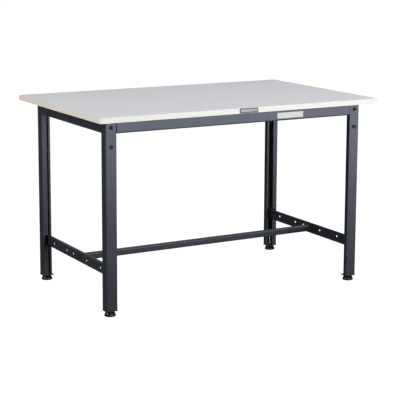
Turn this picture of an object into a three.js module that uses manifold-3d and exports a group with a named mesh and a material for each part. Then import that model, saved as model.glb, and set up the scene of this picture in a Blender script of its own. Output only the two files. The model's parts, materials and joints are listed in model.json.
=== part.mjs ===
// A light steel workbench: a laminated board on a folded-steel frame with four levelling feet.
// Millimetres, +Z up. The origin is on the floor, under the middle of the board; the front is -Y.
import * as THREE from "three";
import { mergeVertices } from "three/addons/utils/BufferGeometryUtils.js";
import Module from "manifold-3d";

const wasm = await Module();
wasm.setup();

// Driving dimensions.
const GAP = 0.3; // left between two pieces that touch
const WELD = 0.2; // how far a welded nut sinks into the sheet it sits on
const bench = { width: 1200, depth: 750, height: 740 };
const board = { thickness: 20, laminate: 0.8, backer: 0.6, edgeBand: 2 };
const overhang = { side: 47, front: 57, rear: 70 };
const steel = { thickness: 2, bendRadius: 2.5, bendSteps: 4 };
const legSection = { width: 45, outerDepth: 38, innerDepth: 22, outerLip: 22, innerLip: 10 };
const railNotch = { margin: 2, inside: 1, outside: 13 }; // round a lower rail, in a leg's outer lip
const beam = { height: 48, flange: 22 };
const lowRail = { height: 42, flange: 10.4, middle: 162 };
const railHoles = { diameter: 9, fromMiddle: [-213, -91, -30, 30, 91, 213], stretcherHole: 2 };
const stretcherSection = { height: 25, depth: 20 };
const bracket = { thickness: 3, width: 24, drop: 25, height: 105, armHeight: 34, armReach: 90 };
const roundness = { screw: 12, hole: 16, railHole: 24, foot: 24 }; // flat sides that stand for a circle
const legBolt = { drop: 45, pitch: 70 }; // first bolt below the board's top, second below the first
const boltLength = { leg: 16, beam: 11, stretcher: 16 };
const dome = { flat: 0.45, rim: 0.2, steps: 2 }; // shares of a screw head's radius and height
const m8 = { shank: 8, clearance: 8.6, head: 14, headHeight: 4.4, key: 5, nutFlats: 13, nutHeight: 6.5 };
const topScrew = { shank: 4.5, clearance: 5.1, head: 9, headHeight: 2.6, key: 3, reach: 13, along: 200 };
const footPlate = { bottom: 19.3, thickness: 2.7 };
const pad = { radius: 21.4, neckRadius: 14.5, height: 18, socketFloor: 6, rim: 1.6, bellStart: 3, edge: 1 };
const stud = { top: 62, discRadius: 6, discHeight: 3, slotWidth: 1.6, slotDepth: 2.5, bevel: 1 };
const makerPlate = { middle: 8, width: 80, height: 18, thickness: 1 };
const ratingPlate = { middle: 229, width: 118, height: 22, rise: 9, thickness: 0.6 };

// Heights and places worked out from them.
const boardUnderside = bench.height - board.thickness;
const frameTop = boardUnderside - GAP;
const beamBottom = boardUnderside - beam.height;
const legBottom = footPlate.bottom + footPlate.thickness + GAP;
const legOut = bench.width / 2 - overhang.side; // outer face of the legs, from the middle
const legIn = legOut - legSection.width; // inner face
const legMiddle = legOut - legSection.width / 2;
const frontFace = bench.depth / 2 - overhang.front; // how far the legs reach to the front
const rearFace = bench.depth / 2 - overhang.rear; // and to the rear
const frameMiddleY = (rearFace - frontFace) / 2;
const railWebOut = legOut - legSection.outerLip - GAP; // outer face of a lower rail's web
const railWebIn = railWebOut - steel.thickness;
const bracketIn = legIn + legSection.innerLip + 2 * GAP; // inner face of a corner bracket's arm
const upperRailFlangeEnd = bracketIn + bracket.thickness + GAP;
const stretcherY = frameMiddleY + railHoles.fromMiddle[railHoles.stretcherHole];
const upperBoltZ = bench.height - legBolt.drop;
const lowerBoltZ = upperBoltZ - legBolt.pitch;
const bracketTop = bench.height - bracket.drop;
const bracketBottom = bracketTop - bracket.height;
const footInset = legSection.outerDepth / 2;

// Finishes.
const finishes = {
  laminate: { color: 0xd3d4d8, roughness: 0.45, metalness: 0 },
  core: { color: 0xb08a5c, roughness: 0.9, metalness: 0 },
  edgeBand: { color: 0xf1f0ee, roughness: 0.5, metalness: 0 },
  paintedSteel: { color: 0x3d4048, roughness: 0.5, metalness: 0.3 },
  blackSteel: { color: 0x16171a, roughness: 0.4, metalness: 0.6 },
  zinc: { color: 0xb7bcc2, roughness: 0.3, metalness: 1 },
  blackPlastic: { color: 0x0c0c0d, roughness: 0.15, metalness: 0 },
  plateGrey: { color: 0x44474c, roughness: 0.4, metalness: 0.2 },
  plateWhite: { color: 0xf4f4f2, roughness: 0.5, metalness: 0 },
};

const workbench = new THREE.Group();

function addPiece(parent, name, geometry, finish) {
  const mesh = new THREE.Mesh(geometry, new THREE.MeshStandardMaterial(finishes[finish]));
  mesh.name = name;
  parent.add(mesh);
  return mesh;
}

// Joining and cutting.
function solidFrom(geometry) {
  const bare = geometry.clone();
  bare.deleteAttribute("normal");
  bare.deleteAttribute("uv");
  const merged = mergeVertices(bare, 1e-4);
  return new wasm.Manifold(
    new wasm.Mesh({
      numProp: 3,
      vertProperties: merged.attributes.position.array,
      triVerts: new Uint32Array(merged.index.array),
    }),
  );
}

function geometryFrom(solid) {
  const mesh = solid.getMesh();
  const geometry = new THREE.BufferGeometry();
  geometry.setAttribute("position", new THREE.BufferAttribute(mesh.vertProperties, 3));
  geometry.setIndex(new THREE.BufferAttribute(mesh.triVerts, 1));
  geometry.computeVertexNormals();
  return geometry;
}

function cut(geometry, tools) {
  const remove = (solid, tool) => solid.subtract(solidFrom(tool));
  return geometryFrom(tools.reduce(remove, solidFrom(geometry)));
}

function join(geometry, others) {
  const add = (solid, other) => solid.add(solidFrom(other));
  return geometryFrom(others.reduce(add, solidFrom(geometry)));
}

// A box between two corners, each [x, y, z].
function boxBetween(low, high) {
  const size = high.map((value, i) => Math.abs(value - low[i]));
  const middle = high.map((value, i) => (value + low[i]) / 2);
  return new THREE.BoxGeometry(...size).translate(...middle);
}

// A cylinder about the X, Y or Z axis, its middle at a point.
function rod(axis, radius, length, at, sides = roundness.hole) {
  const geometry = new THREE.CylinderGeometry(radius, radius, length, sides);
  if (axis === "x") geometry.rotateZ(Math.PI / 2);
  if (axis === "z") geometry.rotateX(Math.PI / 2);
  return geometry.translate(...at);
}

// The outline of sheet steel folded along a line of corners. The corners lie on the sheet's
// middle line, and each is rounded to the bend radius.
function foldedOutline(corners) {
  const points = corners.map(([a, b]) => new THREE.Vector2(a, b));
  const radius = steel.bendRadius + steel.thickness / 2;
  const half = steel.thickness / 2;
  const left = [];
  const right = [];
  const addPair = (point, normal) => {
    left.push(point.clone().addScaledVector(normal, half));
    right.push(point.clone().addScaledVector(normal, -half));
  };
  const directionTo = (i) => points[i].clone().sub(points[i - 1]).normalize();
  const leftOf = (direction) => new THREE.Vector2(-direction.y, direction.x);
  addPair(points[0], leftOf(directionTo(1)));
  for (let i = 1; i < points.length - 1; i++) {
    const incoming = directionTo(i);
    const outgoing = directionTo(i + 1);
    const turn = Math.atan2(incoming.cross(outgoing), incoming.dot(outgoing));
    const side = Math.sign(turn);
    const start = points[i].clone().addScaledVector(incoming, -radius * Math.tan(Math.abs(turn) / 2));
    const centre = start.clone().addScaledVector(leftOf(incoming), side * radius);
    for (let k = 0; k <= steel.bendSteps; k++) {
      const normal = leftOf(incoming).rotateAround(new THREE.Vector2(), (turn * k) / steel.bendSteps);
      addPair(centre.clone().addScaledVector(normal, -side * radius), normal);
    }
  }
  addPair(points.at(-1), leftOf(directionTo(points.length - 1)));
  return new THREE.Shape([...left, ...right.reverse()]);
}

// A folded section run along an axis from one place to another. The corners are given in the
// two other axes, in the order X Y, X Z or Y Z.
function foldedLength(axis, corners, from, to) {
  const along = { depth: to - from, bevelEnabled: false };
  const geometry = new THREE.ExtrudeGeometry(foldedOutline(corners), along);
  geometry.translate(0, 0, from);
  if (axis === "y") geometry.rotateX(Math.PI / 2).scale(1, -1, 1);
  if (axis === "x") geometry.rotateY(Math.PI / 2).rotateX(Math.PI / 2);
  if (axis === "y") turnFacesRound(geometry);
  return geometry;
}

// Mirroring a geometry leaves its faces pointing in, so each triangle is turned round.
function turnFacesRound(geometry) {
  const position = geometry.attributes.position;
  for (let i = 0; i < position.count; i += 3) {
    const second = new THREE.Vector3().fromBufferAttribute(position, i + 1);
    const third = new THREE.Vector3().fromBufferAttribute(position, i + 2);
    position.setXYZ(i + 1, ...third);
    position.setXYZ(i + 2, ...second);
  }
}

// A channel with its web upright: two flanges point from the web's outer face back to flangeEnd.
function channelCorners(webOut, flangeEnd, bottom, top) {
  const half = steel.thickness / 2;
  const web = webOut - Math.sign(webOut - flangeEnd) * half;
  return [
    [flangeEnd, top - half],
    [web, top - half],
    [web, bottom + half],
    [flangeEnd, bottom + half],
  ];
}

// A profile of [radius, height] pairs turned about the Z axis.
function turned(profile, sides) {
  const points = profile.map(([radius, height]) => new THREE.Vector2(radius, height));
  return new THREE.LatheGeometry(points, sides).rotateX(Math.PI / 2);
}

const acrossCorners = (flats) => flats / Math.cos(Math.PI / 6);

// A hexagonal nut about an axis, with its hole.
function hexNut(axis, at) {
  const blank = rod(axis, acrossCorners(m8.nutFlats) / 2, m8.nutHeight, at, 6);
  return cut(blank, [rod(axis, m8.clearance / 2, 2 * m8.nutHeight, at)]);
}

// A screw with a low domed head, pointing down its own -Z, the underside of its head at 0.
function domedScrew({ shank, head, headHeight }, length, key) {
  const tip = shank / 8;
  const profile = [
    [0, -length],
    [shank / 2 - tip, -length],
    [shank / 2, -length + tip],
    [shank / 2, 0],
    [head / 2, 0],
    [head / 2, headHeight * dome.rim],
  ];
  for (let k = 1; k <= dome.steps; k++) {
    const angle = (k / dome.steps) * (Math.PI / 2);
    const radius = (head / 2) * (dome.flat + (1 - dome.flat) * Math.cos(angle));
    profile.push([radius, headHeight * (dome.rim + (1 - dome.rim) * Math.sin(angle))]);
  }
  profile.push([0, headHeight]);
  const body = turned(profile, roundness.screw);
  const socket = rod("z", acrossCorners(key) / 2, headHeight * 1.2, [0, 0, headHeight], 6);
  return cut(body, [socket]);
}

const m8Bolt = (length) => domedScrew(m8, length, m8.key);

// The four corners of the frame: which side, which end, and how far the end reaches.
const corners = [
  { name: "front_left", side: -1, end: -1, reach: frontFace },
  { name: "front_right", side: 1, end: -1, reach: frontFace },
  { name: "rear_left", side: -1, end: 1, reach: rearFace },
  { name: "rear_right", side: 1, end: 1, reach: rearFace },
];
const sides = [
  { name: "left", side: -1 },
  { name: "right", side: 1 },
];

// The place of a point in a corner: u from the bench's middle outwards, v towards its end.
const atCorner = ({ side, end }, u, v, z) => [side * u, end * v, z];

function buildBoard() {
  const top = new THREE.Group();
  const halfWidth = bench.width / 2;
  const halfDepth = bench.depth / 2;
  const insideX = halfWidth - board.edgeBand - GAP;
  const insideY = halfDepth - board.edgeBand - GAP;
  const coreBottom = boardUnderside + board.backer + GAP;
  const coreTop = bench.height - board.laminate - GAP;
  const core = boxBetween([-insideX, -insideY, coreBottom], [insideX, insideY, coreTop]);
  const backer = boxBetween([-insideX, -insideY, boardUnderside], [insideX, insideY, coreBottom - GAP]);
  const pilots = screwPlaces().map(({ x, y }) => {
    const length = 2 * (topScrew.reach + 1);
    return rod("z", topScrew.clearance / 2, length, [x, y, boardUnderside]);
  });
  addPiece(top, "top_core", cut(core, pilots), "core");
  addPiece(top, "top_backer", cut(backer, pilots), "laminate");
  const sheet = boxBetween([-insideX, -insideY, coreTop + GAP], [insideX, insideY, bench.height]);
  addPiece(top, "top_laminate", sheet, "laminate");
  for (const [name, end] of [["front", -1], ["rear", 1]]) {
    const inner = [-halfWidth, end * (halfDepth - board.edgeBand), boardUnderside];
    const band = boxBetween(inner, [halfWidth, end * halfDepth, bench.height]);
    addPiece(top, `edge_band_${name}`, band, "edgeBand");
  }
  for (const { name, side } of sides) {
    const inner = [side * (halfWidth - board.edgeBand), -insideY, boardUnderside];
    const band = boxBetween(inner, [side * halfWidth, insideY, bench.height]);
    addPiece(top, `edge_band_${name}`, band, "edgeBand");
  }
  return top;
}

// The board is held by four screws, up through the top flanges of the upper side rails.
function screwPlaces() {
  const x = (legOut + upperRailFlangeEnd) / 2;
  return corners.map(({ name, side, end }) => {
    return { name, x: side * x, y: frameMiddleY + end * topScrew.along };
  });
}

function buildTopScrews() {
  const screws = new THREE.Group();
  for (const { name, x, y } of screwPlaces()) {
    const length = topScrew.reach + steel.thickness + GAP;
    const geometry = domedScrew(topScrew, length, topScrew.key);
    const screw = addPiece(screws, `top_screw_${name}`, geometry, "blackSteel");
    screw.rotation.x = Math.PI;
    screw.position.set(x, y, frameTop - steel.thickness - GAP);
  }
  return screws;
}

// A leg is one folded strip. Its wide face looks out to the front or the rear, the outer flange is
// deeper than the inner one, and both end in lips. The outer lip is notched where the rail enters.
function legGeometry({ side, end, reach }) {
  const half = steel.thickness / 2;
  const innerLipV = reach - legSection.innerDepth + half;
  const outerLipV = reach - legSection.outerDepth + half;
  const outline = [
    [legIn + legSection.innerLip, innerLipV],
    [legIn + half, innerLipV],
    [legIn + half, reach - half],
    [legOut - half, reach - half],
    [legOut - half, outerLipV],
    [legOut - legSection.outerLip, outerLipV],
  ].map(([u, v]) => [side * u, end * v]);
  const strip = foldedLength("z", outline, legBottom, frameTop);
  const webBolts = [upperBoltZ, lowerBoltZ].map((z) => {
    return rod("y", m8.clearance / 2, 4 * steel.thickness, [side * legMiddle, end * reach, z]);
  });
  const beamBolt = beamBoltPlace({ side, end, reach });
  const flangeHole = rod("x", m8.clearance / 2, 4 * steel.thickness, [side * legIn, ...beamBolt]);
  const notchReach = lowRail.height / 2 + railNotch.margin;
  const notchIn = side * (railWebOut - railNotch.inside);
  const notchOut = side * (railWebOut + railNotch.outside);
  const notch = boxBetween(
    [notchIn, end * (outerLipV - steel.thickness), lowRail.middle - notchReach],
    [notchOut, end * (outerLipV + steel.thickness), lowRail.middle + notchReach],
  );
  const nutX = side * (legIn + steel.thickness + m8.nutHeight / 2 - WELD);
  const weldNut = hexNut("x", [nutX, ...beamBolt]);
  return join(cut(strip, [...webBolts, flangeHole, notch]), [weldNut]);
}

// The Y and Z of the bolt that holds a beam's end to the inner flange of a leg.
function beamBoltPlace({ end, reach }) {
  return [end * (reach - (legSection.innerDepth + steel.thickness) / 2), frameTop - beam.height / 2];
}

// The bracket inside a leg's top: a plate behind the two leg bolts, and an arm that runs out
// through the leg's open side to the upper side rail.
function bracketGeometry(corner) {
  const { reach } = corner;
  const plateFront = reach - steel.thickness - GAP;
  const plateBack = plateFront - bracket.thickness;
  const armBack = plateFront - bracket.armReach;
  const plate = boxBetween(
    atCorner(corner, bracketIn, plateFront, bracketBottom),
    atCorner(corner, bracketIn + bracket.width, plateBack, bracketTop),
  );
  const arm = boxBetween(
    atCorner(corner, bracketIn, plateBack + bracket.thickness / 2, bracketTop - bracket.armHeight),
    atCorner(corner, bracketIn + bracket.thickness, armBack, bracketTop),
  );
  const holes = [upperBoltZ, lowerBoltZ].map((z) => {
    const length = 2 * (m8.nutHeight + bracket.thickness);
    return rod("y", m8.clearance / 2, length, atCorner(corner, legMiddle, plateBack, z));
  });
  const nuts = [upperBoltZ, lowerBoltZ].map((z) => {
    return hexNut("y", atCorner(corner, legMiddle, plateBack - m8.nutHeight / 2 + WELD, z));
  });
  return cut(join(join(plate, [arm]), nuts), holes);
}

function buildLegs() {
  const legs = new THREE.Group();
  for (const corner of corners) {
    const { name, side, end, reach } = corner;
    addPiece(legs, `leg_${name}`, legGeometry(corner), "paintedSteel");
    addPiece(legs, `corner_bracket_${name}`, bracketGeometry(corner), "paintedSteel");
    for (const [level, z] of [["upper", upperBoltZ], ["lower", lowerBoltZ]]) {
      const bolt = addPiece(legs, `leg_bolt_${name}_${level}`, m8Bolt(boltLength.leg), "blackSteel");
      bolt.rotation.x = (-end * Math.PI) / 2;
      bolt.position.set(side * legMiddle, end * (reach + GAP), z);
    }
  }
  return legs;
}

// A beam runs between two legs, its face flush with theirs, and has an upright tab at each end.
function beamGeometry(end, reach) {
  const endX = legIn - GAP;
  const outline = channelCorners(end * reach, end * (reach - beam.flange), beamBottom, frameTop);
  const channel = foldedLength("x", outline, -endX, endX);
  const [boltY, boltZ] = beamBoltPlace({ end, reach });
  const half = steel.thickness / 2;
  const tabs = sides.map(({ side }) => {
    const low = [side * (endX - steel.thickness), end * (reach - half), beamBottom + half];
    return boxBetween(low, [side * endX, end * (reach - beam.flange + half), frameTop - half]);
  });
  const holes = sides.map(({ side }) => {
    return rod("x", m8.clearance / 2, 4 * steel.thickness, [side * endX, boltY, boltZ]);
  });
  return cut(join(channel, tabs), holes);
}

function buildBeams() {
  const beams = new THREE.Group();
  for (const [name, end, reach] of [["front", -1, frontFace], ["rear", 1, rearFace]]) {
    addPiece(beams, `beam_${name}`, beamGeometry(end, reach), "paintedSteel");
  }
  for (const corner of corners) {
    const [boltY, boltZ] = beamBoltPlace(corner);
    const bolt = addPiece(beams, `beam_bolt_${corner.name}`, m8Bolt(boltLength.beam), "blackSteel");
    bolt.rotation.y = (-corner.side * Math.PI) / 2;
    bolt.position.set(corner.side * (legIn - steel.thickness - 2 * GAP), boltY, boltZ);
  }
  return beams;
}

// An upper side rail closes the frame under the board's end, flush with the legs' outer faces.
function upperRailGeometry(side) {
  const from = -(frontFace - legSection.outerDepth - GAP);
  const to = rearFace - legSection.outerDepth - GAP;
  const outline = channelCorners(side * legOut, side * upperRailFlangeEnd, beamBottom, frameTop);
  const channel = foldedLength("y", outline, from, to);
  const holes = screwPlaces()
    .filter(({ x }) => Math.sign(x) === side)
    .map(({ x, y }) => rod("z", topScrew.clearance / 2, 4 * steel.thickness, [x, y, frameTop]));
  return cut(channel, holes);
}

// A lower side rail passes into both legs of its side and has a row of holes for the stretcher.
function lowerRailGeometry(side) {
  const from = -(frontFace - steel.thickness - GAP);
  const to = rearFace - steel.thickness - GAP;
  const bottom = lowRail.middle - lowRail.height / 2;
  const top = lowRail.middle + lowRail.height / 2;
  const outline = channelCorners(side * railWebOut, side * (railWebOut - lowRail.flange), bottom, top);
  const channel = foldedLength("y", outline, from, to);
  const holes = railHoles.fromMiddle.map((along) => {
    const at = [side * railWebOut, frameMiddleY + along, lowRail.middle];
    return rod("x", railHoles.diameter / 2, 4 * steel.thickness, at, roundness.railHole);
  });
  return cut(channel, holes);
}

function buildSideRails() {
  const rails = new THREE.Group();
  for (const { name, side } of sides) {
    addPiece(rails, `side_rail_upper_${name}`, upperRailGeometry(side), "paintedSteel");
    addPiece(rails, `side_rail_lower_${name}`, lowerRailGeometry(side), "paintedSteel");
  }
  return rails;
}

// The stretcher joins the lower side rails. Its ends reach between their flanges, and each has a
// tab with a hole for the bolt.
function stretcherGeometry() {
  const endX = railWebIn - GAP;
  const front = stretcherY - stretcherSection.depth / 2;
  const back = stretcherY + stretcherSection.depth / 2;
  const bottom = lowRail.middle - stretcherSection.height / 2;
  const top = lowRail.middle + stretcherSection.height / 2;
  const channel = foldedLength("x", channelCorners(front, back, bottom, top), -endX, endX);
  const half = steel.thickness / 2;
  const tabs = sides.map(({ side }) => {
    const low = [side * (endX - steel.thickness), front + half, bottom + half];
    return boxBetween(low, [side * endX, back - half, top - half]);
  });
  const holes = sides.map(({ side }) => {
    return rod("x", m8.clearance / 2, 4 * steel.thickness, [side * endX, stretcherY, lowRail.middle]);
  });
  return cut(join(channel, tabs), holes);
}

function buildStretcher() {
  const group = new THREE.Group();
  addPiece(group, "stretcher", stretcherGeometry(), "paintedSteel");
  for (const { name, side } of sides) {
    const bolt = addPiece(group, `stretcher_bolt_${name}`, m8Bolt(boltLength.stretcher), "blackSteel");
    bolt.rotation.y = (side * Math.PI) / 2;
    bolt.position.set(side * (railWebOut + GAP), stretcherY, lowRail.middle);
    const nutX = side * (railWebIn - 2 * GAP - steel.thickness - m8.nutHeight / 2);
    const nut = hexNut("x", [nutX, stretcherY, lowRail.middle]);
    addPiece(group, `stretcher_nut_${name}`, nut, "blackSteel");
  }
  return group;
}

// The bell-shaped pad, with a socket that holds the disc at the stud's lower end.
function padGeometry() {
  const neckOfSocket = m8.clearance / 2;
  const socket = stud.discRadius + GAP;
  const socketTop = pad.socketFloor + 2 * GAP + stud.discHeight;
  const profile = [
    [0, 0],
    [pad.radius - pad.rim, 0],
    [pad.radius - pad.rim / 3, pad.rim / 3],
    [pad.radius, pad.rim],
  ];
  const bellSteps = 5;
  const bellHeight = pad.height - pad.edge - pad.bellStart;
  for (let k = 0; k <= bellSteps; k++) {
    const angle = (k / bellSteps) * (Math.PI / 2);
    const radius = pad.neckRadius + (pad.radius - pad.neckRadius) * Math.cos(angle);
    profile.push([radius, pad.bellStart + bellHeight * Math.sin(angle)]);
  }
  profile.push([pad.neckRadius - pad.edge, pad.height], [neckOfSocket, pad.height]);
  profile.push([neckOfSocket, socketTop], [socket, socketTop], [socket, pad.socketFloor]);
  profile.push([0, pad.socketFloor]);
  return turned(profile, roundness.foot);
}

// The threaded stud: a disc held in the pad, a plain rod, and a slot across its top.
function studGeometry() {
  const bottom = pad.socketFloor + GAP;
  const discTop = bottom + stud.discHeight;
  const rodRadius = m8.shank / 2;
  const profile = [
    [0, bottom],
    [stud.discRadius - stud.bevel / 2, bottom],
    [stud.discRadius, bottom + stud.bevel / 2],
    [stud.discRadius, discTop],
    [rodRadius, discTop],
    [rodRadius, stud.top - stud.bevel],
    [rodRadius - stud.bevel, stud.top],
    [0, stud.top],
  ];
  const slot = new THREE.BoxGeometry(2 * m8.shank, stud.slotWidth, 2 * stud.slotDepth);
  return cut(turned(profile, roundness.hole), [slot.translate(0, 0, stud.top)]);
}

// A levelling foot: a plate under the leg with a nut on it, and the stud and pad that screw
// through them. The deeper outer flange leaves one corner of the plate standing out.
function buildFeet() {
  const feet = new THREE.Group();
  const plateTop = footPlate.bottom + footPlate.thickness;
  for (const corner of corners) {
    const { name, reach } = corner;
    const middle = [legMiddle, reach - footInset];
    const [x, y] = atCorner(corner, ...middle, 0);
    const plate = boxBetween(
      atCorner(corner, legIn, reach, footPlate.bottom),
      atCorner(corner, legOut, reach - legSection.outerDepth, plateTop),
    );
    const hole = rod("z", m8.clearance / 2, 4 * footPlate.thickness, [x, y, plateTop]);
    addPiece(feet, `foot_plate_${name}`, cut(plate, [hole]), "paintedSteel");
    const nut = hexNut("z", [x, y, plateTop + GAP + m8.nutHeight / 2]);
    addPiece(feet, `foot_nut_${name}`, nut, "blackSteel");
    addPiece(feet, `foot_stud_${name}`, studGeometry(), "zinc").position.set(x, y, 0);
    addPiece(feet, `foot_pad_${name}`, padGeometry(), "blackPlastic").position.set(x, y, 0);
  }
  return feet;
}

// Two blank plates: one on the board's front edge, one on the face of the front beam.
function buildPlates() {
  const plates = new THREE.Group();
  const edgeMiddle = bench.height - board.thickness / 2;
  const maker = new THREE.BoxGeometry(makerPlate.width, makerPlate.thickness, makerPlate.height);
  const makerY = -(bench.depth / 2 + GAP + makerPlate.thickness / 2);
  addPiece(plates, "maker_plate", maker, "plateGrey").position.set(makerPlate.middle, makerY, edgeMiddle);
  const rating = new THREE.BoxGeometry(ratingPlate.width, ratingPlate.thickness, ratingPlate.height);
  const ratingY = -(frontFace + GAP + ratingPlate.thickness / 2);
  const ratingZ = beamBottom + ratingPlate.rise + ratingPlate.height / 2;
  addPiece(plates, "rating_plate", rating, "plateWhite").position.set(ratingPlate.middle, ratingY, ratingZ);
  return plates;
}

workbench.add(buildBoard());
workbench.add(buildTopScrews());
workbench.add(buildBeams());
workbench.add(buildSideRails());
workbench.add(buildLegs());
workbench.add(buildStretcher());
workbench.add(buildFeet());
workbench.add(buildPlates());

export default workbench;
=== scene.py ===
import json
import math

import bmesh
import bpy
from mathutils import Matrix, Vector


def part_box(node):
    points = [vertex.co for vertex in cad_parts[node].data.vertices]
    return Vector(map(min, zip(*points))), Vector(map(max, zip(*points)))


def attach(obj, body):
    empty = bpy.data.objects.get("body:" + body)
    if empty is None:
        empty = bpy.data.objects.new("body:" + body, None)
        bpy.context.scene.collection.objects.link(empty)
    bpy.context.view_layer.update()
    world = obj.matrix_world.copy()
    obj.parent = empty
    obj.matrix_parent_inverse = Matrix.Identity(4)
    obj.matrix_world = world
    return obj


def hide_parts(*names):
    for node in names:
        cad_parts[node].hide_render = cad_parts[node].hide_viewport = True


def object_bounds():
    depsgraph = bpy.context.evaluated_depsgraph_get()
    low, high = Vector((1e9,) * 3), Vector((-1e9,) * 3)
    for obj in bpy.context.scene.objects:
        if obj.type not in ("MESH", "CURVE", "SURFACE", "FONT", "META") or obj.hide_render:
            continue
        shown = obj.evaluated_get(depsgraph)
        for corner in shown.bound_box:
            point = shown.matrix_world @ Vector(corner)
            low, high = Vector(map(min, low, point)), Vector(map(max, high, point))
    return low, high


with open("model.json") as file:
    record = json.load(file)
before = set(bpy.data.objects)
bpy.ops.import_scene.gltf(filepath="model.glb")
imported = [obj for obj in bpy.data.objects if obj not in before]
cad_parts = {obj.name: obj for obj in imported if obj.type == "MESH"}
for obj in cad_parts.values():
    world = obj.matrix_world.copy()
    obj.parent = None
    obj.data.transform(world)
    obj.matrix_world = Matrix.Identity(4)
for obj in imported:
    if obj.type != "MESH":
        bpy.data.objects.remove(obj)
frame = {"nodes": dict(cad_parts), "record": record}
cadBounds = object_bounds()
mm = 0.001
corners = ("front_left", "front_right", "rear_left", "rear_right")
print("bench frame loaded:", len(frame["nodes"]), "nodes")


# a small wrapper that keeps one material and adds linked nodes to it
class Finish:
    def __init__(self, name):
        self.material = bpy.data.materials.new(name)
        self.material.use_nodes = True
        self.tree = self.material.node_tree
        self.shader = self.tree.nodes["Principled BSDF"]
        self.place = self.node("ShaderNodeTexCoord").outputs["Object"]

    def node(self, kind, **settings):
        made = self.tree.nodes.new(kind)
        for key, value in settings.items():
            if hasattr(made, key):
                setattr(made, key, value)
            else:
                made.inputs[key.replace("_", " ").title()].default_value = value
        return made

    def link(self, output, socket):
        self.tree.links.new(output, socket)

    def set(self, **values):
        for key, value in values.items():
            self.shader.inputs[key.replace("_", " ")].default_value = value

    def stretched(self, stretch):
        mapping = self.node("ShaderNodeMapping")
        mapping.inputs["Scale"].default_value = stretch
        self.link(self.place, mapping.inputs["Vector"])
        return mapping.outputs["Vector"]

    def noise(self, scale, detail=4.0, stretch=(1, 1, 1), rough=0.55):
        texture = self.node("ShaderNodeTexNoise", scale=scale, detail=detail, roughness=rough)
        self.link(self.stretched(stretch), texture.inputs["Vector"])
        return texture.outputs["Fac"]

    def cells(self, scale, stretch, output):
        texture = self.node("ShaderNodeTexVoronoi", scale=scale)
        self.link(self.stretched(stretch), texture.inputs["Vector"])
        return texture.outputs[output]

    def ramp(self, factor, stops):
        made = self.node("ShaderNodeValToRGB")
        bar = made.color_ramp
        while len(bar.elements) < len(stops):
            bar.elements.new(0.5)
        for element, (position, colour) in zip(bar.elements, stops):
            element.position = position
            element.color = (*colour, 1.0)
        self.link(factor, made.inputs["Fac"])
        return made.outputs["Color"]

    def span(self, factor, low, high):
        made = self.node("ShaderNodeMapRange")
        made.inputs["To Min"].default_value = low
        made.inputs["To Max"].default_value = high
        self.link(factor, made.inputs["Value"])
        return made.outputs["Result"]

    def bump(self, height, depth, strength):
        made = self.node("ShaderNodeBump", strength=strength, distance=depth)
        self.link(height, made.inputs["Height"])
        self.link(made.outputs["Normal"], self.shader.inputs["Normal"])

    def blend(self, factor, dark, light, low=0.3, high=0.7):
        # the base colour goes from dark to light as the factor goes from low to high
        self.colour(self.ramp(factor, ((low, dark), (high, light))))

    def colour(self, output):
        self.link(output, self.shader.inputs["Base Color"])

    def roughness(self, output):
        self.link(output, self.shader.inputs["Roughness"])


# dark blue-grey powder coat on the folded steel: orange peel and a faint drift of tone
powderCoatLook = {
    "dark": (0.0095, 0.0100, 0.0120), "light": (0.0130, 0.0137, 0.0165), "drift": 9.0,
    "gloss": (0.36, 0.46), "polish": 60.0,  # gloss is the range of the roughness
    "peel": 420.0, "peelDepth": 0.06 * mm,
    "shine": 0.7, "sheen": (0.74, 0.82, 1.0),
}

def powderCoat():
    look = powderCoatLook
    paint = Finish("powderCoat")
    paint.blend(paint.noise(look["drift"], detail=3.0), look["dark"], look["light"])
    paint.roughness(paint.span(paint.noise(look["polish"], detail=5.0), *look["gloss"]))
    paint.bump(paint.noise(look["peel"], detail=3.0), look["peelDepth"], strength=0.5)
    paint.set(Specular_IOR_Level=look["shine"], Specular_Tint=(*look["sheen"], 1.0))
    return paint.material


# cool light grey melamine with a fine speckled grain
laminateLook = {
    "pale": (0.480, 0.483, 0.496), "deep": (0.440, 0.443, 0.456),
    "grain": 700.0, "grainDepth": 0.03 * mm, "clouds": 5.0, "cloudShare": 0.2,
    "gloss": (0.42, 0.54), "shine": 0.4,
}

def greyLaminate():
    look = laminateLook
    sheet = Finish("greyLaminate")
    grain = sheet.noise(look["grain"], detail=2.0, rough=0.7)
    tone = sheet.node("ShaderNodeMix", data_type="FLOAT")
    tone.inputs["Factor"].default_value = look["cloudShare"]
    sheet.link(grain, tone.inputs["A"])
    sheet.link(sheet.noise(look["clouds"], detail=2.0), tone.inputs["B"])
    sheet.blend(tone.outputs["Result"], look["deep"], look["pale"], low=0.35, high=0.62)
    sheet.roughness(sheet.span(grain, *look["gloss"]))
    sheet.bump(grain, look["grainDepth"], strength=0.35)
    sheet.set(Specular_IOR_Level=look["shine"])
    return sheet.material


# the thinner backing sheet under the board
backingLook = {
    "dark": (0.50, 0.49, 0.46), "light": (0.60, 0.59, 0.565), "gloss": (0.55, 0.7),
    "fibre": 260.0, "fibreRun": (1, 0.25, 1), "fibreDepth": 0.04 * mm,
}

def backingSheet():
    look = backingLook
    sheet = Finish("backingSheet")
    fibre = sheet.noise(look["fibre"], stretch=look["fibreRun"])
    sheet.blend(fibre, look["dark"], look["light"])
    sheet.roughness(sheet.span(fibre, *look["gloss"]))
    sheet.bump(fibre, look["fibreDepth"], strength=0.3)
    return sheet.material


# pressed chips inside the board
chipCoreLook = {
    "tones": ((0.1, (0.21, 0.13, 0.065)), (0.5, (0.42, 0.29, 0.16)), (0.9, (0.60, 0.46, 0.29))),
    "chips": 380.0, "flatness": (1, 1, 2.2), "chipDepth": 0.3 * mm, "gloss": (0.8, 0.95),
}

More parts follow.
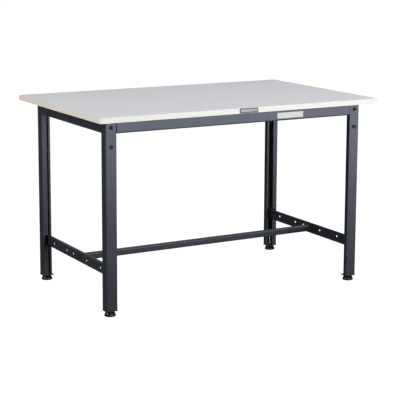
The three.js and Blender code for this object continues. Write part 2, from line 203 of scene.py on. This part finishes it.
def chipCore():
    look = chipCoreLook
    core = Finish("chipCore")
    grey = core.node("ShaderNodeRGBToBW")
    core.link(core.cells(look["chips"], look["flatness"], "Color"), grey.inputs["Color"])
    core.colour(core.ramp(grey.outputs["Val"], look["tones"]))
    core.roughness(core.span(grey.outputs["Val"], *look["gloss"]))
    core.bump(core.cells(look["chips"], look["flatness"], "Distance"), look["chipDepth"], strength=0.6)
    return core.material


# white edge band with faint streaks along its length
edgeBandLook = {
    "white": (0.55, 0.538, 0.518), "streak": (0.513, 0.498, 0.475),
    "streaks": 40.0, "streakRun": (0.4, 0.4, 22), "grain": 500.0, "grainDepth": 0.02 * mm,
    "gloss": (0.38, 0.5), "shine": 0.3,
}

def whiteEdgeBand():
    look = edgeBandLook
    band = Finish("whiteEdgeBand")
    streaks = band.noise(look["streaks"], stretch=look["streakRun"])
    band.blend(streaks, look["streak"], look["white"], high=0.65)
    band.roughness(band.span(streaks, *look["gloss"]))
    band.bump(band.noise(look["grain"], detail=2.0), look["grainDepth"], strength=0.3)
    band.set(Specular_IOR_Level=look["shine"])
    return band.material


# black oxide on bolts and nuts, with an oily mottle
oxideLook = {
    "dark": (0.004, 0.004, 0.005), "light": (0.008, 0.008, 0.009),
    "mottle": 330.0, "mottleDepth": 0.02 * mm, "gloss": (0.38, 0.55), "shine": 0.25,
}

def blackOxide():
    look = oxideLook
    steel = Finish("blackOxide")
    mottle = steel.noise(look["mottle"])
    steel.blend(mottle, look["dark"], look["light"])
    steel.roughness(steel.span(mottle, *look["gloss"]))
    steel.bump(mottle, look["mottleDepth"], strength=0.3)
    steel.set(Specular_IOR_Level=look["shine"])
    return steel.material


# bright zinc with a cool, slightly uneven passivation
zincLook = {
    "tones": ((0.3, (0.50, 0.56, 0.62)), (0.6, (0.66, 0.70, 0.74)), (0.8, (0.72, 0.71, 0.66))),
    "bloom": 180.0, "gloss": (0.2, 0.36), "grain": 900.0, "grainDepth": 0.01 * mm,
}

def brightZinc():
    look = zincLook
    zinc = Finish("brightZinc")
    bloom = zinc.noise(look["bloom"], detail=3.0)
    zinc.colour(zinc.ramp(bloom, look["tones"]))
    zinc.roughness(zinc.span(bloom, *look["gloss"]))
    zinc.bump(zinc.noise(look["grain"], detail=2.0), look["grainDepth"], strength=0.3)
    zinc.set(Metallic=1.0)
    return zinc.material


# glossy moulded plastic of the levelling pads
plasticLook = {
    "dark": (0.0015, 0.0015, 0.0018), "light": (0.0035, 0.0035, 0.004), "flow": 70.0,
    "gloss": (0.10, 0.16), "ripple": 300.0, "rippleDepth": 0.03 * mm, "shine": 0.14,
}

def glossPlastic():
    look = plasticLook
    plastic = Finish("glossPlastic")
    flow = plastic.noise(look["flow"], detail=3.0)
    plastic.blend(flow, look["dark"], look["light"])
    plastic.roughness(plastic.span(flow, *look["gloss"]))
    plastic.bump(plastic.noise(look["ripple"], detail=2.0), look["rippleDepth"], strength=0.25)
    plastic.set(Specular_IOR_Level=look["shine"])
    return plastic.material


# satin faces of the two blank plates
plateLook = {"brush": 240.0, "brushRun": (0.12, 1, 1), "brushDepth": 0.02 * mm}
platePaints = {
    "plateGrey": {"dark": (0.012, 0.013, 0.015), "light": (0.02, 0.021, 0.024), "gloss": (0.44, 0.56)},
    "platePanel": {"dark": (0.19, 0.195, 0.205), "light": (0.25, 0.256, 0.266), "gloss": (0.44, 0.56)},
    "plateWhite": {"dark": (0.49, 0.495, 0.505), "light": (0.56, 0.565, 0.575), "gloss": (0.49, 0.61)},
}

def platePaint(name):
    look = platePaints[name]
    plate = Finish(name)
    brushed = plate.noise(plateLook["brush"], stretch=plateLook["brushRun"])
    plate.blend(brushed, look["dark"], look["light"])
    plate.roughness(plate.span(brushed, *look["gloss"]))
    plate.bump(brushed, plateLook["brushDepth"], strength=0.3)
    return plate.material


finishes = {
    "painted_steel": powderCoat(),
    "laminate_sheet": greyLaminate(),
    "backing_sheet": backingSheet(),
    "board_core": chipCore(),
    "edge_band": whiteEdgeBand(),
    "black_fasteners": blackOxide(),
    "zinc_steel": brightZinc(),
    "black_pad": glossPlastic(),
    "plate_grey": platePaint("plateGrey"),
    "plate_panel": platePaint("platePanel"),
    "plate_white": platePaint("plateWhite"),
}
print("finishes made:", len(finishes))


# edges flatter than the fold angle are shaded smooth, and edges sharper than the bevel angle are rounded
foldAngle = 34
bevelAngle = 50

def smoothByAngle(degrees):
    group = bpy.data.node_groups.new("smoothFolds%d" % degrees, "GeometryNodeTree")
    group.interface.new_socket("Geometry", in_out="INPUT", socket_type="NodeSocketGeometry")
    group.interface.new_socket("Geometry", in_out="OUTPUT", socket_type="NodeSocketGeometry")
    start = group.nodes.new("NodeGroupInput")
    end = group.nodes.new("NodeGroupOutput")
    angle = group.nodes.new("GeometryNodeInputMeshEdgeAngle")
    soft = group.nodes.new("FunctionNodeCompare")
    soft.operation = "LESS_THAN"
    soft.inputs["B"].default_value = math.radians(degrees)
    faces = group.nodes.new("GeometryNodeSetShadeSmooth")
    faces.domain = "FACE"
    faces.inputs["Shade Smooth"].default_value = True
    edges = group.nodes.new("GeometryNodeSetShadeSmooth")
    edges.domain = "EDGE"
    group.links.new(angle.outputs["Unsigned Angle"], soft.inputs["A"])
    group.links.new(start.outputs[0], faces.inputs["Geometry"])
    group.links.new(faces.outputs[0], edges.inputs["Geometry"])
    group.links.new(soft.outputs["Result"], edges.inputs["Shade Smooth"])
    group.links.new(edges.outputs[0], end.inputs[0])
    return group

smoothFolds = smoothByAngle(foldAngle)

def addBevel(piece, width, segments):
    bevel = piece.modifiers.new("softEdges", "BEVEL")
    bevel.width = width
    bevel.segments = segments
    bevel.limit_method = "ANGLE"
    bevel.angle_limit = math.radians(bevelAngle)
    bevel.use_clamp_overlap = True

def addSmoothing(piece):
    smooth = piece.modifiers.new("smoothFolds", "NODES")
    smooth.node_group = smoothFolds


# finishes and edge rounding for the nodes that stay as they are
edgeRounding = {
    "painted_steel": {"width": 0.25 * mm, "segments": 2},
    "laminate_sheet": {"width": 0.15 * mm, "segments": 1},
    "board_core": {"width": 0.15 * mm, "segments": 1},
    "edge_band": {"width": 0.6 * mm, "segments": 3},
}

def coatCadNode(name, slot, finish=None):
    node = frame["nodes"][name]
    material = finishes[finish or slot]
    if not node.material_slots:
        node.data.materials.append(material)
    for place in node.material_slots:
        place.material = material
    addBevel(node, **edgeRounding[slot])
    addSmoothing(node)

coatCadNode("top_laminate", "laminate_sheet")
coatCadNode("top_backer", "laminate_sheet", "backing_sheet")
coatCadNode("top_core", "board_core")
for side in ("front", "rear", "left", "right"):
    coatCadNode("edge_band_" + side, "edge_band")
for name in ("beam_front", "beam_rear", "stretcher"):
    coatCadNode(name, "painted_steel")
for side in ("left", "right"):
    coatCadNode("side_rail_upper_" + side, "painted_steel")
    coatCadNode("side_rail_lower_" + side, "painted_steel")
for corner in corners:
    coatCadNode("leg_" + corner, "painted_steel")
    coatCadNode("corner_bracket_" + corner, "painted_steel")
    coatCadNode("foot_plate_" + corner, "painted_steel")
print("board and folded steel coated")


# round pieces are rings stacked along their axis

def always(value):
    return value if callable(value) else (lambda angle: value)

def hexReach(flats):
    # distance from the axis to the side of a hexagon with a corner at angle zero
    return lambda angle: flats / 2 / math.cos(angle % (math.pi / 3) - math.pi / 6)

def stackRings(name, rings, sides, closed=False):
    # each ring is (radius, height); a radius of 0 is a point on the axis; closed joins last to first
    shape = bmesh.new()
    made = []
    for radius, height in rings:
        radiusAt, heightAt = always(radius), always(height)
        if radius == 0:
            made.append([shape.verts.new((0, 0, heightAt(0)))])
            continue
        ring = []
        for k in range(sides):
            angle = 2 * math.pi * k / sides
            r = radiusAt(angle)
            ring.append(shape.verts.new((r * math.cos(angle), r * math.sin(angle), heightAt(angle))))
        made.append(ring)
    pairs = list(zip(made, made[1:])) + ([(made[-1], made[0])] if closed else [])
    for lower, upper in pairs:
        for k in range(sides):
            a, b = lower[k % len(lower)], lower[(k + 1) % len(lower)]
            c, d = upper[(k + 1) % len(upper)], upper[k % len(upper)]
            face = [v for i, v in enumerate((a, b, c, d)) if v not in (a, b, c, d)[:i]]
            shape.faces.new(face)
    return finishMesh(shape, name)

def finishMesh(shape, name):
    bmesh.ops.recalc_face_normals(shape, faces=shape.faces)
    mesh = bpy.data.meshes.new(name)
    shape.to_mesh(mesh)
    shape.free()
    return mesh

threadForm = {"slope": 1.25, "crest": 0.12}

def threadRings(radius, pitch, depth, low, high, stepsPerTurn):
    # heights from low to high; the radius goes in and out once a pitch, a turn out of step round the rod
    steps = max(2, round((high - low) / pitch * stepsPerTurn))
    rings = []
    for k in range(steps + 1):
        height = low + (high - low) * k / steps
        rings.append((threadReach(radius, pitch, depth, height), height))
    return rings

def threadReach(radius, pitch, depth, height):
    def reach(angle):
        phase = (height / pitch - angle / (2 * math.pi)) % 1.0
        flank = abs(2 * phase - 1)
        return radius - depth * min(1.0, max(0.0, threadForm["slope"] * flank - threadForm["crest"]))
    return reach

def addPiece(name, mesh, matrix, finish, body, node):
    mesh.transform(matrix)
    piece = bpy.data.objects.new(name, mesh)
    bpy.context.scene.collection.objects.link(piece)
    piece.data.materials.append(finishes[finish])
    addSmoothing(piece)
    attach(piece, body)
    if node:
        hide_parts(node)
    return piece

def pointing(direction, place):
    # turns +Z to a direction and moves the origin to a place
    turn = Vector((0, 0, 1)).rotation_difference(Vector(direction))
    return Matrix.Translation(place) @ turn.to_matrix().to_4x4()

def standing(low, high):
    # upright, on the middle of the lower side of a box
    return Matrix.Translation(((low.x + high.x) / 2, (low.y + high.y) / 2, low.z))


# domed socket screws: the outline of the head, the hexagon socket and a cut thread
frameScrew = {"head": 4.4 * mm, "key": 5 * mm, "shank": 8 * mm}
boardScrew = {"head": 2.6 * mm, "key": 3 * mm, "shank": 4.5 * mm}
screwLook = {
    "sides": 24,
    "pitch": 0.15625, "threadDepth": 0.06875, "stepsPerTurn": 5,  # shares of the shank
    "flatTop": 0.45, "domeHeight": 0.8, "domeSteps": 7,           # shares of the head
    "socket": ((0, 0.62), (0.7, 0.60), (1, 0.56)),                # shares of the key and of the head
    "mouth": 1.08, "mouthDepth": 0.25 * mm,
    "rimIn": 0.2 * mm, "rimUp": 0.15 * mm,
    "plain": 0.6 * mm, "threadEnd": 0.9 * mm, "tip": ((0.4, 0.3 * mm), (0.33, 0), (0, 0)),
}

def socketScrew(name, node, outward, screw):
    look, head, hexKey, shank = screwLook, screw["head"], screw["key"], screw["shank"]
    low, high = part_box(node)
    size = high - low
    axis = max(range(3), key=lambda i: abs(outward[i]))
    across = max(size[i] for i in range(3) if i != axis)
    top = (low + high) / 2
    top[axis] = high[axis] if outward[axis] > 0 else low[axis]
    headRadius, end = across / 2, -size[axis]
    rings = [(hexReach(hexKey * share) if share else 0, -head * depth) for share, depth in look["socket"]]
    rings += [(hexReach(hexKey), -look["mouthDepth"]), (hexReach(hexKey * look["mouth"]), 0.0)]
    for k in range(look["domeSteps"]):
        angle = math.pi / 2 * k / look["domeSteps"]
        radius = headRadius * (look["flatTop"] + (1 - look["flatTop"]) * math.sin(angle))
        rings.append((radius, -head * look["domeHeight"] * (1 - math.cos(angle))))
    rings += [(headRadius, -head * look["domeHeight"]), (headRadius, look["rimUp"] - head)]
    rings += [(headRadius - look["rimIn"], -head), (shank / 2, -head), (shank / 2, -head - look["plain"])]
    rings += threadRings(shank / 2, look["pitch"] * shank, look["threadDepth"] * shank,
                         -head - look["plain"], end + look["threadEnd"], look["stepsPerTurn"])
    rings += [(shank * share, end + up) for share, up in look["tip"]]
    mesh = stackRings(name, rings, look["sides"])
    addPiece(name, mesh, pointing(outward, top), "black_fasteners", "root", node)

for corner in corners:
    front = -1 if corner.startswith("front") else 1
    side = -1 if corner.endswith("left") else 1
    for level in ("upper", "lower"):
        end = "_%s_%s" % (corner, level)
        socketScrew("legBolt" + end, "leg_bolt" + end, (0, front, 0), frameScrew)
    socketScrew("beamBolt_" + corner, "beam_bolt_" + corner, (-side, 0, 0), frameScrew)
    socketScrew("topScrew_" + corner, "top_screw_" + corner, (0, 0, -1), boardScrew)
for side, outward in (("left", -1), ("right", 1)):
    socketScrew("stretcherBolt_" + side, "stretcher_bolt_" + side, (outward, 0, 0), frameScrew)
print("socket screws made")


# hexagon nuts with chamfered corners and a countersunk bore
nutLook = {"sides": 48, "bore": 8.6 * mm, "countersink": 0.5 * mm, "chamfer": 0.94, "slope": 28}

def hexNut(name, node, axis):
    look = nutLook
    low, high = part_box(node)
    size = high - low
    others = [i for i in range(3) if i != axis]
    flats = min(size[i] for i in others)
    reach, flatFace = hexReach(flats), look["chamfer"] * flats / 2
    fall = lambda angle: max(0.0, reach(angle) - flatFace) * math.tan(math.radians(look["slope"]))
    half, bore, sink = size[axis] / 2, look["bore"] / 2, look["countersink"]
    rings = [(bore + sink, half), (flatFace, half), (reach, lambda a: half - fall(a))]
    rings += [(reach, lambda a: fall(a) - half), (flatFace, -half), (bore + sink, -half)]
    rings += [(bore, sink - half), (bore, half - sink)]
    mesh = stackRings(name, rings, look["sides"], closed=True)
    outward = [0, 0, 0]
    outward[axis] = 1
    place = pointing(outward, (low + high) / 2)
    piece = addPiece(name, mesh, place, "black_fasteners", "root", node)
    spans = []
    for i in others:
        reaches = [v.co[i] for v in piece.data.vertices]
        spans.append(max(reaches) - min(reaches))
    if (spans[0] > spans[1]) != (size[others[0]] > size[others[1]]):
        # a turn of 30 degrees lines the flats up
        turn = place @ Matrix.Rotation(math.pi / 6, 4, "Z") @ place.inverted()
        piece.data.transform(turn)

for corner in corners:
    hexNut("footNut_" + corner, "foot_nut_" + corner, 2)
for side in ("left", "right"):
    hexNut("stretcherNut_" + side, "stretcher_nut_" + side, 0)
print("nuts made")


# levelling feet: a flared plastic pad with a grooved sole, and a threaded stud with a slot
padLook = {
    "sides": 72,
    # the sole: shares of the pad's radius, and heights
    "sole": ((0, 0.6 * mm), (0.42, 0.6 * mm), (0.45, 0), (0.7, 0),
             (0.72, 0.5 * mm), (0.78, 0.5 * mm), (0.8, 0)),
    "rim": 2.2 * mm, "rimSteps": 6,
    "neck": 15.2 * mm, "flareFrom": 3.4 * mm, "flareTo": 1.6 * mm, "flareSteps": 12,
    "flare": 1.25, "hollow": 0.10, "bulge": 0.9 * mm,
    # the top: radii, and depths below it
    "mouth": ((14.9 * mm, 0.7 * mm), (14.0 * mm, 0), (5.35 * mm, 0), (4.35 * mm, 0.8 * mm),
              (4.35 * mm, 8.0 * mm), (6.3 * mm, 8.2 * mm)),
    "ballFloor": 6.1 * mm,
}
studLook = {
    "sides": 28, "shank": 8 * mm, "pitch": 1.25 * mm, "depth": 0.62 * mm, "stepsPerTurn": 6,
    "discHeight": 3.0 * mm, "discLower": 0.5 * mm, "discUpper": 0.4 * mm, "plain": 4.5 * mm,
    "threadEnd": 1.4 * mm, "tip": ((0.8, 0.6 * mm), (0.7, 0), (0, 0)),
    "slotWidth": 1.6 * mm, "slotDepth": 2.5 * mm,
}

def levellingPad(corner):
    look = padLook
    low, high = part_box("foot_pad_" + corner)
    radius, height = (high.x - low.x) / 2, high.z - low.z
    rim, neck = look["rim"], look["neck"]
    rings = [(radius * share, up) for share, up in look["sole"]]
    for k in range(look["rimSteps"] + 1):
        angle = math.pi / 2 * k / look["rimSteps"]
        rings.append((radius - rim * (1 - math.sin(angle)), rim * (1 - math.cos(angle))))
    rise = height - look["flareTo"] - look["flareFrom"]
    for k in range(1, look["flareSteps"] + 1):
        share = k / look["flareSteps"]
        swell = math.sin(math.pi * share)
        flare = (1 - share ** look["flare"]) * (1 - look["hollow"] * swell)
        reach = neck + (radius - neck) * flare + look["bulge"] * swell
        rings.append((reach, look["flareFrom"] + rise * share))
    rings += [(reach, height - depth) for reach, depth in look["mouth"]]
    rings += [(look["mouth"][-1][0], look["ballFloor"]), (0, look["ballFloor"])]
    mesh = stackRings("levellingPad_" + corner, rings, look["sides"])
    addPiece("levellingPad_" + corner, mesh, standing(low, high), "black_pad",
             "pad_" + corner, "foot_pad_" + corner)

def levellingStud(corner):
    look = studLook
    low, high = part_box("foot_stud_" + corner)
    disc, length, shank = (high.x - low.x) / 2, high.z - low.z, look["shank"] / 2
    lower, upper, top = look["discLower"], look["discUpper"], look["discHeight"]
    rings = [(0, 0.0), (disc - lower, 0.0), (disc, lower), (disc, top - upper), (disc - upper, top)]
    rings += [(shank, top), (shank, look["plain"])]
    rings += threadRings(shank, look["pitch"], look["depth"], look["plain"], length - look["threadEnd"],
                         look["stepsPerTurn"])
    rings += [(shank * share, length - down) for share, down in look["tip"]]
    mesh = stackRings("levellingStud_" + corner, rings, look["sides"])
    place = standing(low, high)
    stud = addPiece("levellingStud_" + corner, mesh, place, "zinc_steel", "stud_" + corner,
                    "foot_stud_" + corner)
    cutSlot(stud, place @ Vector((0, 0, length)))

def cutSlot(stud, top):
    # a block cuts the screwdriver slot across the top, and is then removed
    look = studLook
    cutterMesh = bpy.data.meshes.new("slotCutter")
    box = bmesh.new()
    bmesh.ops.create_cube(box, size=1.0)
    bmesh.ops.scale(box, vec=(look["shank"] * 2, look["slotWidth"], look["slotDepth"] * 2), verts=box.verts)
    bmesh.ops.translate(box, vec=top, verts=box.verts)
    box.to_mesh(cutterMesh)
    box.free()
    cutter = bpy.data.objects.new("slotCutter", cutterMesh)
    bpy.context.scene.collection.objects.link(cutter)
    cut = stud.modifiers.new("slot", "BOOLEAN")
    cut.object = cutter
    cut.operation = "DIFFERENCE"
    smoothing = stud.modifiers["smoothFolds"]
    smoothing.show_viewport = False  # only the cut goes into the mesh
    bpy.context.view_layer.update()
    graph = bpy.context.evaluated_depsgraph_get()
    result = bpy.data.meshes.new_from_object(stud.evaluated_get(graph))
    smoothing.show_viewport = True
    stud.modifiers.remove(cut)
    stud.data = result
    bpy.data.objects.remove(cutter)

for corner in corners:
    levellingPad(corner)
    levellingStud(corner)
print("levelling feet made")


# two blank plates: rounded corners and a raised border, and one has a plain inset panel
def roundedOutline(width, height, radius, steps):
    points = []
    for cx, cy, start in ((1, 1, 0), (-1, 1, 90), (-1, -1, 180), (1, -1, 270)):
        for k in range(steps + 1):
            angle = math.radians(start + 90 * k / steps)
            points.append((cx * (width / 2 - radius) + radius * math.cos(angle),
                           cy * (height / 2 - radius) + radius * math.sin(angle)))
    return points

cornerSteps = 6

def layeredPlate(name, layers):
    # each layer is (width, height, corner radius, depth towards the front)
    shape = bmesh.new()
    loops = []
    for width, height, radius, depth in layers:
        outline = roundedOutline(width, height, radius, cornerSteps)
        loops.append([shape.verts.new((x, -depth, z)) for x, z in outline])
    count = len(loops[0])
    for inner, outer in zip(loops, loops[1:]):
        for k in range(count):
            shape.faces.new((inner[k], inner[(k + 1) % count], outer[(k + 1) % count], outer[k]))
    shape.faces.new(loops[0])
    shape.faces.new(loops[-1])
    return finishMesh(shape, name)

makerPlateLook = {"corner": 3.4 * mm, "border": 3.2 * mm, "step": 0.25 * mm}
ratingPlateLook = {"corner": 1.2 * mm, "border": 1.4 * mm, "step": 0.08 * mm}
insetCorner = {"least": 0.3 * mm, "upper": 0.4 * mm, "lower": 0.3 * mm}
panelLook = {"corner": 0.8 * mm, "sunk": 0.05 * mm, "side": 0.08 * mm, "top": 0.15 * mm, "edge": 0.1 * mm}

def blankPlate(name, node, look, finish):
    low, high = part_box(node)
    width, height, thick = high.x - low.x, high.z - low.z, high.y - low.y
    corner, border, step = look["corner"], look["border"], look["step"]
    inner = max(corner - border, insetCorner["least"])
    back = Vector(((low.x + high.x) / 2, high.y, (low.z + high.z) / 2))
    layers = [(width, height, corner, 0.0), (width, height, corner, thick - step)]
    layers += [(width - step * 2, height - step * 2, corner - step, thick)]
    width, height, depth = width - border * 2, height - border * 2, thick - step
    layers += [(width, height, inner + insetCorner["upper"], thick)]
    layers += [(width - step, height - step, inner + insetCorner["lower"], depth)]
    addPiece(name, layeredPlate(name, layers), Matrix.Translation(back), finish, "root", node)
    return width - step * 3, height - step * 3, back, depth

def insetPanel(name, width, height, back, depth):
    look = panelLook
    corner, edge = look["corner"], look["edge"]
    layers = [(width, height, corner, depth - look["sunk"]), (width, height, corner, depth + look["side"])]
    layers += [(width - edge * 2, height - edge * 2, corner - edge, depth + look["top"])]
    mesh = layeredPlate(name, layers)
    addPiece(name, mesh, Matrix.Translation(back), "plate_panel", "root", None)

inset = blankPlate("blankMakerPlate", "maker_plate", makerPlateLook, "plate_grey")
insetPanel("blankMakerPanel", *inset)
blankPlate("blankRatingPlate", "rating_plate", ratingPlateLook, "plate_white")
print("blank plates made")


# rippled weld beads where the lower rails enter the legs
weldLook = {
    "radius": 1.5 * mm, "sides": 10, "ripple": 0.14, "pitch": 1.6 * mm, "stepsPerRipple": 4,
    "taper": 2.5 * mm, "thinnest": 0.02,
    "fromEnd": 1.4 * mm, "outside": 0.6 * mm, "fromEdge": 3 * mm,  # where the bead lies on the rail
}

def weldBead(name, start, end):
    look = weldLook
    length = (end - start).length
    steps = round(length / look["pitch"] * look["stepsPerRipple"])
    rings = [(0, 0.0)]
    for k in range(steps + 1):
        along = length * k / steps
        nearEnd = min(along, length - along) / look["taper"]
        ends = min(1.0, math.sqrt(max(look["thinnest"], nearEnd)))
        swell = 1 + look["ripple"] * math.sin(2 * math.pi * along / look["pitch"])
        rings.append((look["radius"] * ends * swell, along))
    rings.append((0, length))
    mesh = stackRings(name, rings, look["sides"])
    place = pointing((end - start).normalized(), start)
    addPiece(name, mesh, place, "painted_steel", "root", None)

for side, outward in (("left", -1), ("right", 1)):
    low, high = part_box("side_rail_lower_" + side)
    x = (low.x if outward < 0 else high.x) + outward * weldLook["outside"]
    bottom, top = low.z + weldLook["fromEdge"], high.z - weldLook["fromEdge"]
    for corner, y in (("front_", low.y + weldLook["fromEnd"]), ("rear_", high.y - weldLook["fromEnd"])):
        weldBead("railWeld_" + corner + side, Vector((x, y, bottom)), Vector((x, y, top)))
print("welds made")


# pale floor and soft studio light
floorLook = {
    "size": 60.0, "glow": 0.91,
    "pale": (0.20, 0.20, 0.20), "mottle": (0.18, 0.18, 0.18), "drift": 0.8,
}

def lowestReach():
    # the height of the soles when the feet are screwed fully out
    slides = [joint for joint in frame["record"]["behaviour"]["joints"] if joint["type"] == "slide"]
    return cadBounds[0][2] + min(slide["range_m"][0] for slide in slides)

def paleFloor():
    look = floorLook
    mesh = bpy.data.meshes.new("studioFloor")
    sheet = bmesh.new()
    bmesh.ops.create_grid(sheet, x_segments=2, y_segments=2, size=look["size"] / 2)
    sheet.to_mesh(mesh)
    sheet.free()
    floor = bpy.data.objects.new("studioFloor", mesh)
    floor.location.z = lowestReach()
    bpy.context.scene.collection.objects.link(floor)
    paper = Finish("studioPaper")
    paper.blend(paper.noise(look["drift"], detail=2.0), look["mottle"], look["pale"])
    paper.set(Roughness=0.9, Specular_IOR_Level=0.0, Emission_Strength=look["glow"])
    paper.shader.inputs["Emission Color"].default_value = (1, 1, 1, 1)
    mesh.materials.append(paper.material)
    floor.visible_diffuse = False
    floor.visible_glossy = False

paleFloor()

studioLights = {
    "frontRightPanel": {"place": (0.603, -2.18, 0.665), "aim": (0.423, -0.03, 0.455), "turn": -5.0,
                        "size": (4.8, 0.8), "watts": 75.0, "colour": (1.0, 1.0, 1.0)},
    "overheadPanel": {"place": (0.9, -1.2, 3.2), "aim": (0.0, 0.0, 0.7), "turn": 0.0,
                      "size": (2.6, 2.0), "watts": 72.0, "colour": (0.97, 0.985, 1.0)},
    "leftPanel": {"place": (-3.7, -0.2, 1.9), "aim": (0.0, 0.0, 0.7), "turn": 0.0,
                  "size": (1.2, 1.2), "watts": 122.0, "colour": (1.0, 0.93, 0.86)},
}

def hangPanel(name, panel):
    # turn is in degrees, about the middle of the panel
    data = bpy.data.lights.new(name, "AREA")
    data.shape = "RECTANGLE"
    data.size, data.size_y = panel["size"]
    data.energy = panel["watts"]
    data.color = panel["colour"]
    lamp = bpy.data.objects.new(name, data)
    lamp.location = panel["place"]
    lamp.visible_camera = False
    facing = (Vector(panel["aim"]) - Vector(panel["place"])).to_track_quat("-Z", "Y").to_matrix()
    lamp.rotation_euler = (facing @ Matrix.Rotation(math.radians(panel["turn"]), 3, "Z")).to_euler()
    bpy.context.scene.collection.objects.link(lamp)

for name, panel in studioLights.items():
    hangPanel(name, panel)

# white behind the bench; what lights it is dark low down, paler to the rear right and paler still above
skyLook = {
    "above": (0.55, 0.56, 0.58), "fade": 0.7,
    "below": (0.051, 0.051, 0.054), "rearRight": (0.33, 0.34, 0.36), "paleSide": (0.858, 0.486, 0.0),
}

def studioSurround():
    look = skyLook
    world = bpy.data.worlds.new("studioSurround")
    world.use_nodes = True
    bpy.context.scene.world = world
    tree = world.node_tree
    tree.nodes.clear()
    direction = tree.nodes.new("ShaderNodeTexCoord").outputs["Generated"]
    sideways = tree.nodes.new("ShaderNodeVectorMath")
    sideways.operation = "DOT_PRODUCT"
    sideways.inputs[1].default_value = look["paleSide"]
    split = tree.nodes.new("ShaderNodeSeparateXYZ")
    height = tree.nodes.new("ShaderNodeMapRange")
    height.inputs["From Max"].default_value = look["fade"]

    def colourMix(factor, first, second):
        # sockets 6 and 7 are the two colours, and output 2 is their mix
        made = tree.nodes.new("ShaderNodeMix")
        made.data_type = "RGBA"
        tree.links.new(factor, made.inputs["Factor"])
        for place, colour in ((6, first), (7, second)):
            if isinstance(colour, tuple):
                made.inputs[place].default_value = (*colour, 1)
            else:
                tree.links.new(colour, made.inputs[place])
        return made.outputs[2]

    tree.links.new(direction, sideways.inputs[0])
    tree.links.new(direction, split.inputs["Vector"])
    tree.links.new(split.outputs["Z"], height.inputs["Value"])
    low = colourMix(sideways.outputs["Value"], look["below"], look["rearRight"])
    light = tree.nodes.new("ShaderNodeBackground")
    tree.links.new(colourMix(height.outputs["Result"], low, look["above"]), light.inputs["Color"])
    backdrop = tree.nodes.new("ShaderNodeBackground")
    backdrop.inputs["Color"].default_value = (1, 1, 1, 1)
    path = tree.nodes.new("ShaderNodeLightPath")
    mix = tree.nodes.new("ShaderNodeMixShader")
    out = tree.nodes.new("ShaderNodeOutputWorld")
    tree.links.new(path.outputs["Is Camera Ray"], mix.inputs["Fac"])
    tree.links.new(light.outputs[0], mix.inputs[1])
    tree.links.new(backdrop.outputs[0], mix.inputs[2])
    tree.links.new(mix.outputs[0], out.inputs["Surface"])

studioSurround()
bpy.context.scene.view_settings.view_transform = "Standard"
print("studio lit")


# the camera looks at the bench from its front left corner, a little from above
cameraPlace = {
    "turn": 29.545,      # degrees to the right of straight ahead
    "tilt": 9.553,       # degrees down
    "roll": 0.239,
    "lens": 118.39,      # mm, on a sensor of the width below
    "sensor": 36.0,
    "distance": 5.2468,
    "aim": (0.0213, 0.0159, 0.1447),  # from the middle of the bench
    "shiftY": -0.12,
    "farthest": 200.0,   # past the far edge of the floor
}

def placeCamera():
    look = cameraPlace
    low, high = cadBounds
    middle = (Vector(low) + Vector(high)) / 2
    turn = Matrix.Rotation(-math.radians(look["turn"]), 4, "Z")
    tilt = Matrix.Rotation(math.radians(90 - look["tilt"]), 4, "X")
    roll = Matrix.Rotation(math.radians(look["roll"]), 4, "Z")
    facing = turn @ tilt @ roll
    back = (facing @ Vector((0, 0, 1, 0))).xyz
    place = middle + Vector(look["aim"]) + back * look["distance"]
    data = bpy.data.cameras.new("benchCamera")
    data.sensor_width = look["sensor"]
    data.lens = look["lens"]
    data.shift_y = look["shiftY"]
    data.clip_end = look["farthest"]
    camera = bpy.data.objects.new("benchCamera", data)
    bpy.context.scene.collection.objects.link(camera)
    camera.matrix_world = Matrix.Translation(place) @ facing
    bpy.context.scene.camera = camera

placeCamera()
print("camera placed")


def asNumbers(box):
    return [[float(value) for value in point] for point in box]

print("cad box", asNumbers(cadBounds))
